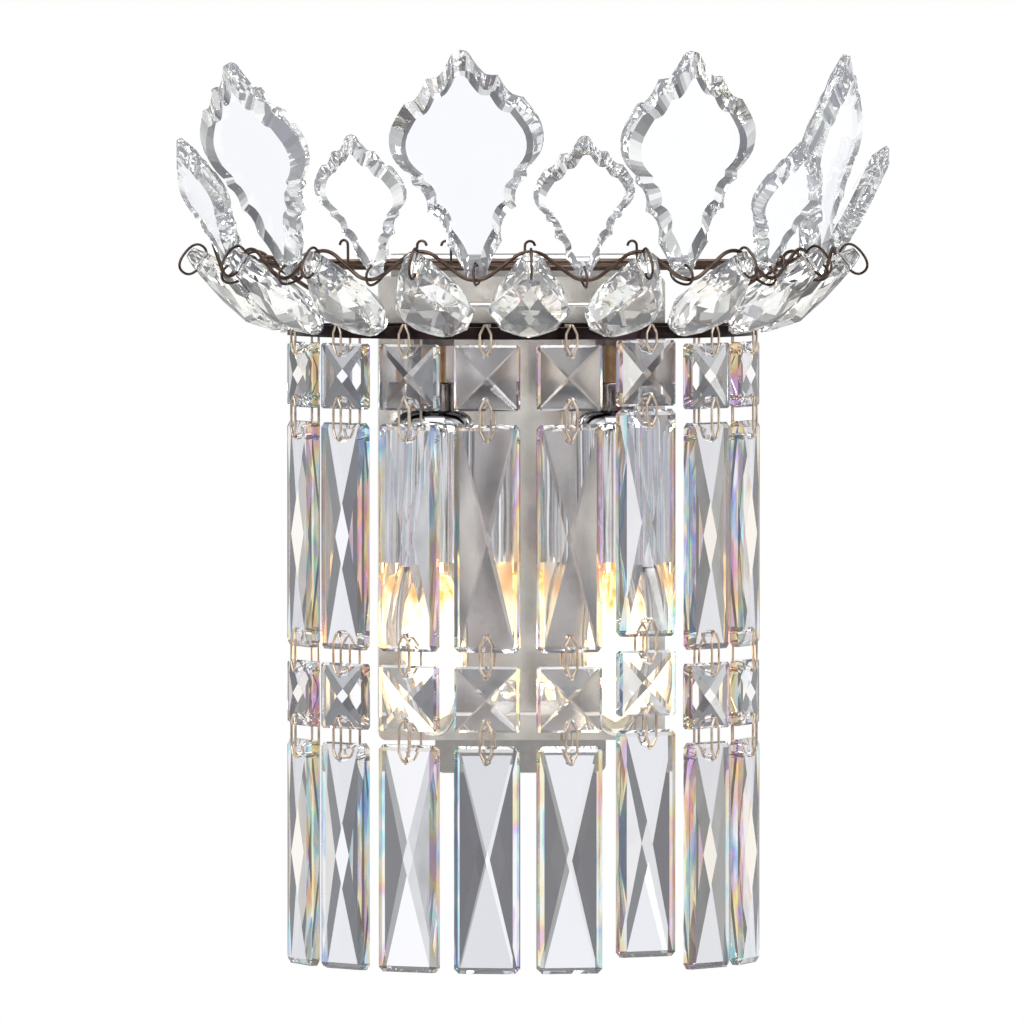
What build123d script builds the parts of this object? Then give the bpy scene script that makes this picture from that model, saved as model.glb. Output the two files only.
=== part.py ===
from build123d import *

import os
from math import asin, atan2, cos, degrees, hypot, radians, sin

# Crystal wall sconce. Millimetres and degrees, +Z up, the wall is the plane y = 0 and
# the sconce stands out of it toward -Y. The origin is midway between the two wall screws.
os.makedirs("parts", exist_ok=True)

# ---- clearances ----
thread_fit = 0.03
weld_gap = 0.05
screw_clearance = 0.25
hole_end_gap = 0.2
beyond = 400.0  # longer than the sconce, for cuts that run right past it

# ---- wall plate ----
plate_thickness = 2.0
plate_width = 58.0
plate_corner = 3.0
plate_bottom = -90.0
top_bar_width = 88.0
top_bar_height = 20.5
top_bar_top = 86.5
lip_radius = 2.6
wall_screw_spacing = 83.3
wall_screw_hole_radius = 2.3
cable_hole_radius = 8.0
cable_hole_height = -16.0

# ---- back pan: three steps, each set in from the one before and nearer the front ----
pan_wall = 1.2
pan_half_width = 48.5
pan_bottom = -78.0
pan_top = 79.0
pan_front = -27.0
pan_corner = 2.5
pan_inner_corner = 1.5
pan_edge_round = 1.6
pan_step_insets = (0.0, 3.5, 8.5)
pan_step_setbacks = (8.0, 4.5, 0.0)

# ---- studs and ball nuts ----
stud_radius = 2.0
stud_across = 23.0
stud_height = -63.0
stud_recess = 0.2
stud_past_pan = 6.5
stud_end_gap = 0.3
ball_radius = 6.0
ball_flat = 4.8

# ---- circle that the strands and the crown stand on ----
circle_y = -20.0

# ---- hanging ring ----
ring_radius = 79.0
ring_thickness = 1.6
ring_bottom = 59.5
ring_height = 4.0
ring_screw_across = 27.0
ring_screw_radius = 1.5
ring_screw_head_radius = 3.0
ring_screw_head = 1.8
ring_screw_round = 0.8
ring_screw_slot = 0.8
ring_screw_slot_depth = 0.9
ring_screw_length = 7.0

# ---- lamps, from the bridge down ----
lamp_across = 30.5
lamp_y = -56.0
bridge_rise = 0.5
bridge_thickness = 2.5
bridge_width = 12.0
tube_radius = 4.0
tube_bore = 2.6
tube_past_nut = 1.5
nut_height = 3.5
nut_across_corners = 13.5
collar_radius = 7.0
collar_height = 9.4
collar_round = 1.0
cup_radius = 14.0
cup_wall = 1.0
cup_top = 34.9
cup_length = 50.9
cup_shoulder = 7.0
socket_radius = 10.0
socket_length = 38.5
socket_round = 2.0
socket_grip = 5.0
socket_drop = 0.9
base_radius = 5.9
base_wall = 0.5
base_length = 23.0
base_below_socket = 1.0
base_bore_fit = 0.06
contact_radius = 2.0
contact_collar = 2.6
contact_height = 1.4
contact_wall = 2.4
base_shoulder = 3.6
base_inner_shoulder = 4.4
bulb_neck_radius = 5.0
bulb_neck_length = 9.0
bulb_length = 66.0
bulb_wall = 0.8

# radius of the bulb glass and how far below its socket, from the neck down
bulb_radii = [
    (5.3, 1.5),
    (7.2, 5.5),
    (9.8, 12.0),
    (11.5, 25.0),
    (11.5, 41.0),
    (9.6, 54.0),
    (5.6, 62.5),
]

# half width of the filament loop and how far below the top of the neck
filament_wire = 0.6
filament_bend = 2.0
filament_run = [(2.4, 1.2), (2.4, 20.0), (4.5, 26.0), (4.5, 60.0)]

# ---- crown wires, from the hanging ring up and outward ----
crown_flare = 18.5
crown_rise = 20.3
crown_ring_wire = 1.0
crown_ring_corner = 5.0
crown_half_sweep = 95.0
strut_wire = 0.7
strut_foot_gap = 0.15
strut_rise = 10.5
strut_out = 1.5
strut_bend = 4.0
strut_angles = (-60.0, -20.0, 20.0, 60.0)
post_radius = 1.2
post_across = 38.0
wave_out = 9.0
wave_rise = 0.7
wave_vertex_rise = 7.0
wave_bend = 9.0
wave_end_bend = 3.0
wave_weld_angles = (-85, 96)
wave_wire = 0.65
wave_first = -80
wave_last = 100
tie_wire = 0.4
tie_bend = 1.2
tie_hole_radius = 1.2
tie_back = 7.0
tie_front = 6.8
tie_drop = 2.2
almond_tie_end = 1.3
almond_tie_under = 4.2
tail_wire = 0.6
tail_length = 8.6
tail_angles = (-38.0, -22.5, -15.5, -1.0, 21.5)

# ---- leaf crystals: half outline of the large one, bottom to top, as scallops that
# meet in sharp points, each a row of half widths and heights ----
leaf_scallops = [
    [(3.0, 0.0), (4.5, 4.3), (6.9, 8.5), (9.1, 11.7)],
    [(9.1, 11.7), (9.1, 16.5), (11.5, 20.8), (14.8, 22.9)],
    [(14.8, 22.9), (14.6, 26.6), (16.3, 30.4), (19.1, 32.5), (19.2, 35.1)],
    [(19.2, 35.1), (22.2, 37.8), (24.9, 41.5), (25.9, 46.8), (24.6, 52.2), (19.9, 59.3)],
    [(19.9, 59.3), (16.4, 60.4), (14.0, 63.3), (12.0, 67.1)],
    [(12.0, 67.1), (8.4, 67.4), (6.0, 69.7), (3.8, 73.0), (2.3, 75.4), (0.0, 76.1)],
]
leaf_middle = 36.0
leaf_table_scale = 0.80
leaf_girdle = 1.0
leaf_half_thickness = 4.0
small_leaf_scale = 0.66
leaf_hole_height = 4.5

# the leaf tips stand between the frame wire and the wave wire
leaf_out = 4.0
leaf_drop = 2.8
low_leaf_drop = 3.3

# angle on the crown, drop below its wire, scale, outward tilt, sideways lean
leaves = [
    (-70.0, leaf_drop, small_leaf_scale, 26.0, 0.0),
    (-50.0, leaf_drop, 1.0, 22.0, 0.0),
    (-30.0, leaf_drop, small_leaf_scale, 21.0, 0.0),
    (-10.0, low_leaf_drop, 1.0, 6.0, 3.5),
    (10.0, low_leaf_drop, small_leaf_scale, 20.0, 3.5),
    (30.0, low_leaf_drop, 1.0, 9.0, 2.5),
    (50.0, leaf_drop, small_leaf_scale, 27.0, 6.0),
    (70.0, leaf_drop, 1.0, 13.0, 9.0),
    (90.0, leaf_drop, small_leaf_scale, 27.0, 20.0),
]

# ---- almond crystals: distance along, half width, half thickness of each facet ring ----
almond_angles = [-80.0 + 20.0 * index for index in range(9)]
almond_seat = 1.3
almond_below_frame = 7.2427
almond_rings = [
    (0.0, 4.0, 1.6),
    (4.0, 10.0, 3.6),
    (12.5, 14.0, 6.5),
    (22.5, 11.6, 6.0),
    (31.5, 8.0, 4.6),
    (38.0, 5.2, 3.4),
    (42.0, 3.0, 2.0),
]
almond_sides = 8
almond_hole = 36.4

# drills for the holes in the crystals run right through them
drill_length = 20.0

# ---- terminal block ----
block_width = 34.0
block_height = 16.0
block_depth = 9.0
block_ridge = 4.0
block_centre = 12.0
block_ridge_width = 8.0
block_screw_radius = 1.8
block_screw_pitch = 10.0
block_screw_depth = 6.0
block_screws = 3

# ---- hung crystals ----
strand_angles = [-70.0 + 20.0 * index for index in range(8)]
square_size = 22.0
square_corner = 0.8
square_inset = 0.8
square_half = (1.2, 2.0, 4.0)
square_hole = 3.6
bar_width = 22.0
bar_length = 76.0
bar_corner = 1.6
bar_inset = 2.0
bar_half = (1.2, 2.5, 4.5)
bar_hole = 5.4
link_gap = 4.6
first_square_drop = 1.8

# strand that is wired shorter than the others, as the photograph shows it
short_strand = 6
short_square_rise = 1.4
short_lower_rise = 5.0

# ---- clips ----
clip_wire = 0.42
clip_bend = 0.5
clip_half_width = 1.9
clip_taper = 3.0
clip_gap = 0.78
clip_cross_gap = 0.16
clip_hook_gap = 0.28
crystal_hole_clearance = 0.31

# ---- heights and radii that follow from the sizes above ----
pan_back = -plate_thickness
pan_steps = [
    (pan_half_width - inset, pan_bottom + inset, pan_top - inset, pan_front + setback)
    for inset, setback in zip(pan_step_insets, pan_step_setbacks)
]
top_bar_bottom = top_bar_top - top_bar_height
ring_top = ring_bottom + ring_height
ring_middle = (ring_bottom + ring_top) / 2
ring_outer = ring_radius + ring_thickness / 2
ring_inner = ring_radius - ring_thickness / 2
crown_ring_radius = ring_radius + crown_flare
crown_ring_height = ring_top + crown_rise
wave_radius = crown_ring_radius + wave_out
wave_height = crown_ring_height + wave_rise
leaf_radius = crown_ring_radius + leaf_out
almond_radius = ring_outer + almond_seat
frame_across = crown_ring_radius - almond_radius
frame_above = crown_ring_height - ring_middle
almond_slope = degrees(
    atan2(frame_above, frame_across)
    - asin(almond_below_frame / hypot(frame_across, frame_above))
)
bridge_bottom = ring_bottom + bridge_rise
bridge_top = bridge_bottom + bridge_thickness
cup_ceiling = cup_top - cup_wall
cup_mouth = cup_top - cup_length
socket_top = cup_ceiling - nut_height - socket_drop
socket_bottom = socket_top - socket_length
base_bottom = socket_bottom - base_below_socket
base_top = base_bottom + base_length
bulb_neck_top = socket_bottom + bulb_neck_length
bulb_bottom = socket_bottom - bulb_length
tube_top = bridge_top + nut_height + tube_past_nut
tube_bottom = socket_top - socket_grip
clip_leg_across = clip_wire
clip_front = bar_half[1] + clip_gap + clip_wire
clip_cross = clip_front + 2 * clip_wire + clip_cross_gap
hook_height = ring_top + clip_hook_gap + clip_wire
crystal_hole_radius = clip_leg_across + clip_wire + crystal_hole_clearance
first_square_top = ring_bottom - first_square_drop
lamp_places = [(-lamp_across, lamp_y), (lamp_across, lamp_y)]
stud_places = [(-stud_across, stud_height), (stud_across, stud_height)]
ring_screw_places = [(-ring_screw_across, ring_middle), (ring_screw_across, ring_middle)]


def station(angle, radius, height=0.0):
    """Plane on the circle about the sconce: x to the right, y up and z outward."""
    outward = Vector(sin(radians(angle)), -cos(radians(angle)), 0)
    right = Vector(cos(radians(angle)), sin(radians(angle)), 0)
    return Plane(
        origin=Vector(0, circle_y, height) + outward * radius,
        x_dir=right,
        z_dir=outward,
    )


def turned(plane, tilt, lean):
    """The plane turned outward about its own x, or to the left about its own normal."""
    return Plane(plane.location * Location((0, 0, 0), (tilt, 0, lean)))


def on_circle(angle, radius, height):
    """Point on the circle about the sconce."""
    return Vector(
        radius * sin(radians(angle)), circle_y - radius * cos(radians(angle)), height
    )


def faceted(faces):
    """Solid with flat faces, each given by its corner points."""
    return Solid(Shell([Face(Wire.make_polygon(points)) for points in faces]))


def cut_plate(width, height, corner, inset, half):
    """Rectangular plate in the XY plane, cut to a low four-sided point on each face."""
    girdle_half, bevel_half, point_half = half
    x, y = width / 2, height / 2
    girdle = [
        (-x + corner, -y),
        (x - corner, -y),
        (x, -y + corner),
        (x, y - corner),
        (x - corner, y),
        (-x + corner, y),
        (-x, y - corner),
        (-x, -y + corner),
    ]
    table = [
        (-x + inset, -y + inset),
        (x - inset, -y + inset),
        (x - inset, y - inset),
        (-x + inset, y - inset),
    ]
    faces = []
    for index in range(8):
        a, b = girdle[index], girdle[(index + 1) % 8]
        faces.append(
            [
                (*a, -girdle_half),
                (*b, -girdle_half),
                (*b, girdle_half),
                (*a, girdle_half),
            ]
        )
    for side in (-1, 1):
        for index in range(4):
            a, b = girdle[2 * index], girdle[2 * index + 1]
            c = girdle[(2 * index + 2) % 8]
            inner, following = table[index], table[(index + 1) % 4]
            low, high = side * girdle_half, side * bevel_half
            faces.append([(*a, low), (*b, low), (*following, high), (*inner, high)])
            faces.append([(*b, low), (*c, low), (*following, high)])
            faces.append([(*inner, high), (*following, high), (0, 0, side * point_half)])
    return faceted(faces)


def smoothed(scallop):
    """Points of a scallop with one more on the curve between each two."""
    points = [scallop[0]]
    for index in range(len(scallop) - 1):
        before = scallop[max(index - 1, 0)]
        start, end = scallop[index], scallop[index + 1]
        after = scallop[min(index + 2, len(scallop) - 1)]
        middle = [
            (9 * (start[axis] + end[axis]) - before[axis] - after[axis]) / 16
            for axis in (0, 1)
        ]
        points.append(tuple(middle))
        points.append(end)
    return points


def leaf_outline():
    """Closed outline of the large leaf, from its bottom left corner round its right."""
    right = []
    for scallop in leaf_scallops:
        right.extend(smoothed(scallop)[:-1])
    top = leaf_scallops[-1][-1]
    left = [(-across, height) for across, height in reversed(right)]
    return [*right, top, *left]


def leaf_blank(scale):
    """Leaf-shaped plate in the XY plane with a bevelled edge on both faces."""
    outline = [(x * scale, y * scale) for x, y in leaf_outline()]
    middle = leaf_middle * scale
    table = [
        (x * leaf_table_scale, middle + (y - middle) * leaf_table_scale)
        for x, y in outline
    ]
    girdle = leaf_girdle * scale
    half = leaf_half_thickness * (1 + scale) / 2
    faces = [[(*point, half) for point in table], [(*point, -half) for point in table]]
    for index, a in enumerate(outline):
        following = (index + 1) % len(outline)
        b = outline[following]
        c, d = table[following], table[index]
        faces.append([(*a, -girdle), (*b, -girdle), (*b, girdle), (*a, girdle)])
        faces.append([(*a, girdle), (*b, girdle), (*c, half), (*d, half)])
        faces.append([(*a, -girdle), (*b, -girdle), (*c, -half), (*d, -half)])
    return faceted(faces)


def almond_blank():
    """Thick teardrop along +Y, its facet rings turned by half a facet in turn."""
    rings = []
    for number, (along, half_width, half_height) in enumerate(almond_rings):
        turn = 0.5 * (number % 2)
        angles = [360 * (index + turn) / almond_sides for index in range(almond_sides)]
        rings.append(
            [
                (half_width * cos(radians(a)), along, half_height * sin(radians(a)))
                for a in angles
            ]
        )
    faces = [rings[0], rings[-1]]
    for number in range(len(rings) - 1):
        inner, outer = rings[number], rings[number + 1]
        for index in range(almond_sides):
            following = (index + 1) % almond_sides
            if number % 2 == 0:
                faces.append([inner[index], inner[following], outer[index]])
                faces.append([outer[index], inner[following], outer[following]])
            else:
                faces.append([outer[index], outer[following], inner[index]])
                faces.append([inner[index], outer[following], inner[following]])
    return faceted(faces)


def bent_wire(points, bend, wire_radius, close=True):
    """Round wire in straight runs with round bends."""
    with BuildPart() as wire:
        with BuildLine() as route:
            FilletPolyline(*points, radius=bend, close=close)
        with BuildSketch(Plane(origin=route.line @ 0, z_dir=route.line % 0)):
            Circle(wire_radius)
        sweep()
    return wire.part


def clip_part(reach):
    """Closed wire clip: a long hexagon in front, legs through two holes, a twist behind.

    reach is the distance between its two legs, and the clip is centred on them.
    """
    half = reach / 2
    shoulder = half - min(clip_taper, half * 0.6)
    leg, wide = clip_leg_across, clip_half_width
    points = [
        (-leg, half, clip_front),
        (-wide, shoulder, clip_front),
        (-wide, -shoulder, clip_front),
        (-leg, -half, clip_front),
        (-leg, -half, -clip_front),
        (-wide, -shoulder, -clip_front),
        (-wide, shoulder, -clip_front),
        (leg, half, -clip_front),
        (leg, half, clip_front),
        (wide, shoulder, clip_front),
        (wide, -shoulder, clip_front),
        (leg, -half, clip_front),
        (leg, -half, -clip_cross),
        (wide, -shoulder, -clip_cross),
        (wide, shoulder, -clip_cross),
        (-leg, half, -clip_cross),
    ]
    return bent_wire(points, clip_bend, clip_wire)


def write(piece, name):
    """Name a finished piece and write its file."""
    piece.part.label = name
    export_step(piece.part, f"parts/{name}.step")


# ---- wall plate: upright plate, wide top bar, rolled lip, screw holes, cable hole ----
with BuildPart() as wall_plate:
    with BuildSketch(Plane.XZ):
        with Locations((0, (plate_bottom + top_bar_top) / 2)):
            RectangleRounded(plate_width, top_bar_top - plate_bottom, plate_corner)
        with Locations((0, (top_bar_bottom + top_bar_top) / 2)):
            RectangleRounded(top_bar_width, top_bar_height, plate_corner)
        with Locations((0, wall_screw_spacing / 2), (0, -wall_screw_spacing / 2)):
            Circle(wall_screw_hole_radius, mode=Mode.SUBTRACT)
        with Locations((0, cable_hole_height)):
            Circle(cable_hole_radius, mode=Mode.SUBTRACT)
        with Locations(*stud_places):
            Circle(stud_radius + thread_fit, mode=Mode.SUBTRACT)
    extrude(amount=plate_thickness)
    with BuildSketch(Plane.YZ):
        with Locations((-lip_radius, top_bar_top - lip_radius)):
            Circle(lip_radius)
    extrude(amount=top_bar_width / 2, both=True)
write(wall_plate, "wall_plate")

# ---- back pan: hollow, open to the wall, in three steps with a bead round the front ----
with BuildPart() as back_pan:
    for half_width, bottom, top, front in pan_steps:
        with BuildSketch(Plane.XZ.offset(-pan_back)):
            with Locations((0, (bottom + top) / 2)):
                RectangleRounded(2 * half_width, top - bottom, pan_corner)
        extrude(amount=pan_back - front)
    front_face = back_pan.faces().sort_by(Axis.Y)[0]
    fillet(front_face.edges(), pan_edge_round)
    for half_width, bottom, top, front in pan_steps:
        with BuildSketch(Plane.XZ.offset(-pan_back)):
            with Locations((0, (bottom + top) / 2)):
                RectangleRounded(
                    2 * (half_width - pan_wall),
                    top - bottom - 2 * pan_wall,
                    pan_inner_corner,
                )
        extrude(amount=pan_back - front - pan_wall, mode=Mode.SUBTRACT)
    with BuildSketch(Plane.XZ.offset(-pan_back)):
        with Locations(*stud_places):
            Circle(stud_radius + screw_clearance)
        with Locations(*ring_screw_places):
            Circle(ring_screw_radius + thread_fit)
    extrude(amount=pan_back - pan_front, mode=Mode.SUBTRACT)
write(back_pan, "back_pan")

# ---- studs and ball nuts that hold the pan ----
with BuildPart() as pan_studs:
    with BuildSketch(Plane.XZ.offset(stud_recess)):
        with Locations(*stud_places):
            Circle(stud_radius)
    extrude(amount=-pan_front + stud_past_pan)
write(pan_studs, "pan_studs")

with BuildPart() as ball_nuts:
    with Locations(
        (-stud_across, pan_front - ball_flat, stud_height),
        (stud_across, pan_front - ball_flat, stud_height),
    ):
        Sphere(ball_radius)
    split(bisect_by=Plane.XZ.offset(-pan_front), keep=Keep.TOP)
    with BuildSketch(Plane.XZ.offset(-pan_front)):
        with Locations(*stud_places):
            Circle(stud_radius + thread_fit)
    extrude(amount=stud_recess + stud_past_pan + stud_end_gap, mode=Mode.SUBTRACT)
write(ball_nuts, "ball_nuts")

# ---- hanging ring: a D of flat bar on edge, its straight side on the pan ----
with BuildPart() as hanging_ring:
    with BuildSketch(Plane.XY.offset(ring_bottom)):
        with Locations((0, circle_y)):
            Circle(ring_outer)
        with BuildSketch(mode=Mode.PRIVATE) as keep_front:
            with Locations((0, pan_front - beyond / 2)):
                Rectangle(beyond, beyond)
        add(keep_front.sketch, mode=Mode.INTERSECT)
        with BuildSketch(mode=Mode.PRIVATE) as inside:
            with Locations((0, circle_y)):
                Circle(ring_inner)
            with Locations((0, pan_front - ring_thickness - beyond / 2)):
                Rectangle(beyond, beyond, mode=Mode.INTERSECT)
        add(inside.sketch, mode=Mode.SUBTRACT)
    extrude(amount=ring_height)
    with BuildSketch(Plane.XZ.offset(-pan_front)):
        with Locations(*ring_screw_places):
            Circle(ring_screw_radius + screw_clearance)
    extrude(amount=ring_thickness, mode=Mode.SUBTRACT)
write(hanging_ring, "hanging_ring")

with BuildPart() as ring_screws:
    with BuildSketch(Plane.XZ.offset(-pan_front + ring_thickness)):
        with Locations(*ring_screw_places):
            Circle(ring_screw_head_radius)
    extrude(amount=ring_screw_head)
    fillet(ring_screws.faces().sort_by(Axis.Y)[:2].edges(), ring_screw_round)
    with BuildSketch(Plane.XZ.offset(-pan_front + ring_thickness)):
        with Locations(*ring_screw_places):
            Circle(ring_screw_radius)
    extrude(amount=-ring_screw_length)
    with BuildSketch(Plane.XZ.offset(-pan_front + ring_thickness + ring_screw_head)):
        with Locations(*ring_screw_places):
            Rectangle(2 * ring_screw_head_radius, ring_screw_slot)
    extrude(amount=-ring_screw_slot_depth, mode=Mode.SUBTRACT)
write(ring_screws, "ring_screws")

# ---- crown frame: D of round wire, struts down to the hanging ring, posts on the pan ----
chord_y = on_circle(crown_half_sweep, crown_ring_radius, 0).Y
struts = []
for angle in strut_angles:
    foot = on_circle(angle, ring_radius, ring_top + strut_foot_gap)
    knee = on_circle(angle, ring_radius + strut_out, ring_top + strut_rise)
    head = on_circle(angle, crown_ring_radius, crown_ring_height)
    struts.append(bent_wire([foot, knee, head], strut_bend, strut_wire, close=False))
with BuildPart() as crown_frame:
    with BuildLine(Plane.XY.offset(crown_ring_height)) as crown_route:
        CenterArc(
            (0, circle_y), crown_ring_radius, -90 - crown_half_sweep, 2 * crown_half_sweep
        )
        Line(crown_route.line @ 0, crown_route.line @ 1)
        fillet(crown_route.vertices(), crown_ring_corner)
    with BuildSketch(
        Plane(origin=crown_route.line @ 0, z_dir=crown_route.line % 0)
    ):
        Circle(crown_ring_wire)
    sweep()
    for strut in struts:
        add(strut)
    with BuildSketch(Plane.XY.offset(pan_top)):
        with Locations((-post_across, chord_y), (post_across, chord_y)):
            Circle(post_radius)
    extrude(amount=crown_ring_height - pan_top)
write(crown_frame, "crown_frame")

# ---- crown wave wire: up over each almond and down under each leaf ----
wave_points = [
    on_circle(
        angle, wave_radius, wave_height + wave_vertex_rise * cos(radians(18 * angle))
    )
    for angle in range(wave_first, wave_last + 1, 10)
]
wave_end = crown_ring_radius + crown_ring_wire + wave_wire + weld_gap
wave_points.insert(0, on_circle(wave_weld_angles[0], wave_end, crown_ring_height))
wave_points.append(on_circle(wave_weld_angles[1], wave_end, crown_ring_height))
wave_bends = [wave_end_bend, *[wave_bend] * (len(wave_points) - 4), wave_end_bend]
with BuildPart() as crown_wave_wire:
    add(bent_wire(wave_points, wave_bends, wave_wire, close=False))
write(crown_wave_wire, "crown_wave_wire")

# ---- leaf crystals ----
leaf_planes = [
    turned(turned(station(angle, leaf_radius, crown_ring_height - drop), tilt, 0), 0, lean)
    for angle, drop, scale, tilt, lean in leaves
]
large_leaf = leaf_blank(1.0)
small_leaf = leaf_blank(small_leaf_scale)
for number, (leaf, plane) in enumerate(zip(leaves, leaf_planes), start=1):
    blank = large_leaf if leaf[2] == 1.0 else small_leaf
    with BuildPart(plane) as crown_leaf:
        add(blank)
        with Locations((0, leaf_hole_height, 0)):
            Cylinder(tie_hole_radius, drill_length, mode=Mode.SUBTRACT)
    write(crown_leaf, f"crown_leaf_{number}")

# ---- almond crystals: they lean from the crown wires onto the hanging ring ----
almond_planes = [
    turned(station(angle, almond_radius, ring_middle), 90 - almond_slope, 0)
    for angle in almond_angles
]
almond_solid = almond_blank()
with BuildPart() as almonds:
    for plane in almond_planes:
        add(almond_solid.moved(plane.location))
        with Locations(plane.location):
            with Locations((0, almond_hole, 0)):
                Cylinder(tie_hole_radius, drill_length, mode=Mode.SUBTRACT)
write(almonds, "almonds")

# ---- crystal ties: a loop round the wires and through each crystal ----
leaf_tie = bent_wire(
    [
        (0, leaf_hole_height, -tie_back),
        (0, leaf_hole_height, tie_front),
        (0, -tie_drop, tie_front),
        (0, -tie_drop, -tie_back),
    ],
    tie_bend,
    tie_wire,
)
almond_end = almond_rings[-1][0] + almond_tie_end
almond_tie = bent_wire(
    [
        (0, almond_hole, -almond_tie_under),
        (0, almond_hole, tie_front),
        (0, almond_end, tie_front),
        (0, almond_end, -almond_tie_under),
    ],
    tie_bend,
    tie_wire,
)
with BuildPart() as crystal_ties:
    for plane in leaf_planes:
        add(leaf_tie.moved(plane.location))
    for plane in almond_planes:
        add(almond_tie.moved(plane.location))
    tail_foot = crown_ring_height + crown_ring_wire + weld_gap
    with BuildSketch(Plane.XY.offset(tail_foot)):
        with Locations(
            *[on_circle(angle, crown_ring_radius, 0) for angle in tail_angles]
        ):
            Circle(tail_wire)
    extrude(amount=crown_ring_height + tail_length - tail_foot)
write(crystal_ties, "crystal_ties")

# ---- lamp bridge: strap across the inside of the hanging ring ----
with BuildPart() as lamp_bridge:
    with BuildSketch(Plane.XY.offset(bridge_bottom)):
        with Locations((0, lamp_y)):
            Rectangle(beyond, bridge_width)
        with Locations((0, circle_y)):
            Circle(ring_inner - weld_gap, mode=Mode.INTERSECT)
        with Locations(*lamp_places):
            Circle(tube_radius + screw_clearance, mode=Mode.SUBTRACT)
    extrude(amount=bridge_thickness)
write(lamp_bridge, "lamp_bridge")

# ---- lamp tubes and the nuts on them ----
with BuildPart() as lamp_nipples:
    with BuildSketch(Plane.XY.offset(tube_bottom)):
        with Locations(*lamp_places):
            Circle(tube_radius)
            Circle(tube_bore, mode=Mode.SUBTRACT)
    extrude(amount=tube_top - tube_bottom)
write(lamp_nipples, "lamp_nipples")

with BuildPart() as lamp_nuts:
    with BuildSketch(Plane.XY.offset(cup_top)):
        with Locations(*lamp_places):
            Circle(collar_radius)
    extrude(amount=collar_height)
    fillet(lamp_nuts.faces().sort_by(Axis.Z)[-2:].edges(), collar_round)
    for low in (bridge_top, bridge_bottom - nut_height, cup_ceiling - nut_height):
        with BuildSketch(Plane.XY.offset(low)):
            with Locations(*lamp_places):
                RegularPolygon(nut_across_corners / 2, 6)
        extrude(amount=nut_height)
    with BuildSketch(Plane.XY.offset(tube_bottom)):
        with Locations(*lamp_places):
            Circle(tube_radius + thread_fit)
    extrude(amount=tube_top - tube_bottom, mode=Mode.SUBTRACT)
write(lamp_nuts, "lamp_nuts")

# ---- lamp cups: round-shouldered, mouth down ----
with BuildPart() as cup_blank:
    with BuildSketch(Plane.XZ):
        with BuildLine():
            Polyline(
                (tube_radius + screw_clearance, cup_top),
                (cup_radius - cup_shoulder, cup_top),
            )
            RadiusArc(
                (cup_radius - cup_shoulder, cup_top),
                (cup_radius, cup_top - cup_shoulder),
                cup_shoulder,
            )
            Polyline(
                (cup_radius, cup_top - cup_shoulder),
                (cup_radius, cup_mouth),
                (cup_radius - cup_wall, cup_mouth),
                (cup_radius - cup_wall, cup_top - cup_shoulder),
            )
            RadiusArc(
                (cup_radius - cup_wall, cup_top - cup_shoulder),
                (cup_radius - cup_shoulder, cup_ceiling),
                -(cup_shoulder - cup_wall),
            )
            Polyline(
                (cup_radius - cup_shoulder, cup_ceiling),
                (tube_radius + screw_clearance, cup_ceiling),
                (tube_radius + screw_clearance, cup_top),
            )
        make_face()
    revolve(axis=Axis.Z)

with BuildPart() as lamp_cups:
    with Locations(*lamp_places):
        add(cup_blank.part)
write(lamp_cups, "lamp_cups")

# ---- lamp sockets, on the lower end of the tubes ----
with BuildPart() as lamp_sockets:
    with BuildSketch(Plane.XY.offset(socket_bottom)):
        with Locations(*lamp_places):
            Circle(socket_radius)
    extrude(amount=socket_length)
    fillet(lamp_sockets.faces().sort_by(Axis.Z)[-2:].edges(), socket_round)
    with BuildSketch(Plane.XY.offset(socket_bottom)):
        with Locations(*lamp_places):
            Circle(base_radius + base_bore_fit)
    extrude(amount=base_top + hole_end_gap - socket_bottom, mode=Mode.SUBTRACT)
    with BuildSketch(Plane.XY.offset(socket_top)):
        with Locations(*lamp_places):
            Circle(tube_radius + thread_fit)
    extrude(amount=-(socket_grip + hole_end_gap), mode=Mode.SUBTRACT)
write(lamp_sockets, "lamp_sockets")

# ---- bulb bases: thin screw shells with a contact on top ----
with BuildPart() as base_blank:
    with BuildSketch(Plane.XZ):
        with BuildLine():
            Polyline(
                (0, base_top),
                (contact_radius, base_top),
                (contact_collar, base_top - contact_height),
                (base_radius, base_top - base_shoulder),
                (base_radius, base_bottom),
                (base_radius - base_wall, base_bottom),
                (base_radius - base_wall, base_top - base_inner_shoulder),
                (contact_radius, base_top - contact_wall),
                (0, base_top - contact_wall),
                (0, base_top),
            )
        make_face()
    revolve(axis=Axis.Z)

with BuildPart() as bulb_bases:
    with Locations(*lamp_places):
        add(base_blank.part)
write(bulb_bases, "bulb_bases")


def glass_of_revolution(inset):
    """Solid in the shape of the bulb glass, inset on every side."""
    side = [(radius - inset, socket_bottom - depth) for radius, depth in bulb_radii]
    tip = (0, bulb_bottom + inset)
    neck_top = bulb_neck_top - inset
    with BuildPart() as glass:
        with BuildSketch(Plane.XZ):
            with BuildLine():
                Spline(*side, tip, tangents=[(0, -1), (-1, 0)])
                Polyline(
                    tip,
                    (0, neck_top),
                    (bulb_neck_radius - inset, neck_top),
                    (bulb_neck_radius - inset, side[0][1]),
                    side[0],
                )
            make_face()
        revolve(axis=Axis.Z)
    return glass.part


# ---- bulb glasses: hollow, with a long neck in the base and a round end ----
glass_outside = glass_of_revolution(0)
glass_inside = glass_of_revolution(bulb_wall)
with BuildPart() as bulb_glasses:
    with Locations(*lamp_places):
        add(glass_outside)
        add(glass_inside, mode=Mode.SUBTRACT)
write(bulb_glasses, "bulb_glasses")

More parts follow.
